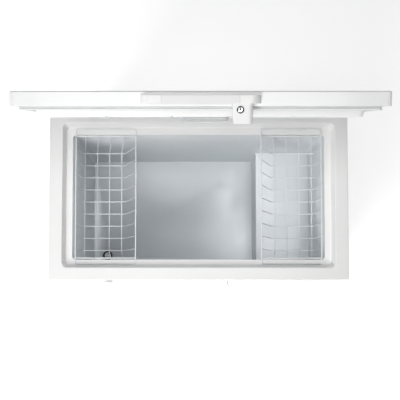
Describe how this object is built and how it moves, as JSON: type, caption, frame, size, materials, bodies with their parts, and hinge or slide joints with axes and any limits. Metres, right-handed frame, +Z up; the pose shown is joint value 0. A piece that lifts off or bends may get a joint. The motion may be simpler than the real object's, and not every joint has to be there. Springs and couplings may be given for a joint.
{
  "type": "chest freezer",
  "caption": "White chest freezer with its insulated lid standing open on rear hinges, two hanging wire baskets, bow handle, key lock and floor drain.",
  "frame": {"origin": "on the floor, under the middle of the object's box with the lid open", "axes": "+X to the right seen from the front, +Y to the back, +Z up"},
  "size_m": [1.236, 0.7621, 1.5719],
  "materials": {
    "white_steel": "gloss",
    "galvanised_steel": "satin",
    "liner_metal": "satin",
    "white_plastic": "satin",
    "grip_plastic": "satin",
    "foam": "matte",
    "copper": "satin",
    "condenser_steel": "satin",
    "black_paint": "satin",
    "black_rubber": "matte",
    "black_plastic": "matte",
    "grey_plastic": "satin",
    "green_lens": "gloss",
    "chrome": "polished",
    "zinc_steel": "satin",
    "gasket_vinyl": "satin",
    "lamp_diffuser": "satin",
    "bulb_glass": "gloss",
    "coated_wire": "satin"
  },
  "bodies": {
    "cabinet": {"cabinet_wrapper": "white_steel", "back_panel": "white_steel", "base_pan": "galvanised_steel", "inner_liner": "liner_metal", "cabinet_foam": "foam", "top_trim": "white_plastic", "evaporator_coil": "copper", "condenser_coil": "condenser_steel", "suction_line": "copper", "discharge_line": "copper", "capillary_tube": "copper", "compressor_base_plate": "galvanised_steel", "compressor": "black_paint", "compressor_grommets": "black_rubber", "compressor_relay": "black_plastic", "filter_drier": "copper", "rear_access_cover": "galvanised_steel", "access_cover_screws": "galvanised_steel", "power_cord_gland": "black_rubber", "thermostat_body": "black_plastic", "control_bezel": "white_plastic", "power_light_lens": "green_lens", "drain_cup": "grey_plastic", "drain_outlet": "grey_plastic", "lock_keeper": "chrome", "keeper_screws": "chrome", "hinge_bracket_screws": "galvanised_steel", "left_hinge_bracket": "galvanised_steel", "left_hinge_spring": "zinc_steel", "front_left_foot": "black_rubber", "back_left_foot": "black_rubber", "right_hinge_bracket": "galvanised_steel", "right_hinge_spring": "zinc_steel", "front_right_foot": "black_rubber", "back_right_foot": "black_rubber"},
    "lid": {"lid_outer_panel": "white_steel", "lid_foam": "foam", "lid_liner": "white_plastic", "lid_gasket": "gasket_vinyl", "lid_handle": "white_plastic", "handle_grip_insert": "grip_plastic", "lock_housing": "white_plastic", "lamp_lens": "lamp_diffuser", "lamp_bulb": "bulb_glass", "lamp_socket": "grey_plastic", "hinge_arm_screws": "galvanised_steel", "left_hinge_arm": "galvanised_steel", "left_hinge_pin": "chrome", "right_hinge_arm": "galvanised_steel", "right_hinge_pin": "chrome"},
    "lock_barrel": {"lock_cylinder": "chrome", "lock_cam": "zinc_steel", "cam_screw": "chrome"},
    "left_basket": {"left_basket_frame": "coated_wire", "left_basket_wires": "coated_wire"},
    "right_basket": {"right_basket_frame": "coated_wire", "right_basket_wires": "coated_wire"},
    "knob": {"thermostat_knob": "grey_plastic"},
    "plug": {"drain_plug": "black_rubber"},
    "cap": {"drain_cap": "white_plastic"}
  },
  "joints": [
    {"name": "lid_hinge", "type": "hinge", "parent": "cabinet", "child": "lid", "pos_m": [0, 0.343, 0.847], "axis": [-1, 0, 0], "range_deg": [-79, 6]},
    {"name": "lock_turn", "type": "hinge", "parent": "lid", "child": "lock_barrel", "pos_m": [0.1273, 0.18487, 1.56094], "axis": [0, 0.1908, -0.9816], "range_deg": [0, 90]},
    {"name": "left_basket_slide", "type": "slide", "parent": "cabinet", "child": "left_basket", "axis": [1, 0, 0], "range_m": [-0.004, 0.245]},
    {"name": "right_basket_slide", "type": "slide", "parent": "cabinet", "child": "right_basket", "axis": [-1, 0, 0], "range_m": [-0.004, 0.245]},
    {"name": "thermostat_knob_turn", "type": "hinge", "parent": "cabinet", "child": "knob", "pos_m": [0.501, -0.354, 0.145], "axis": [0, -1, 0], "range_deg": [0, 270]},
    {"name": "drain_plug_lift", "type": "slide", "parent": "cabinet", "child": "plug", "axis": [0, 0, 1], "range_m": [0, 0.04]},
    {"name": "drain_cap_pull", "type": "slide", "parent": "cabinet", "child": "cap", "axis": [0, -1, 0], "range_m": [0, 0.03]}
  ]
}
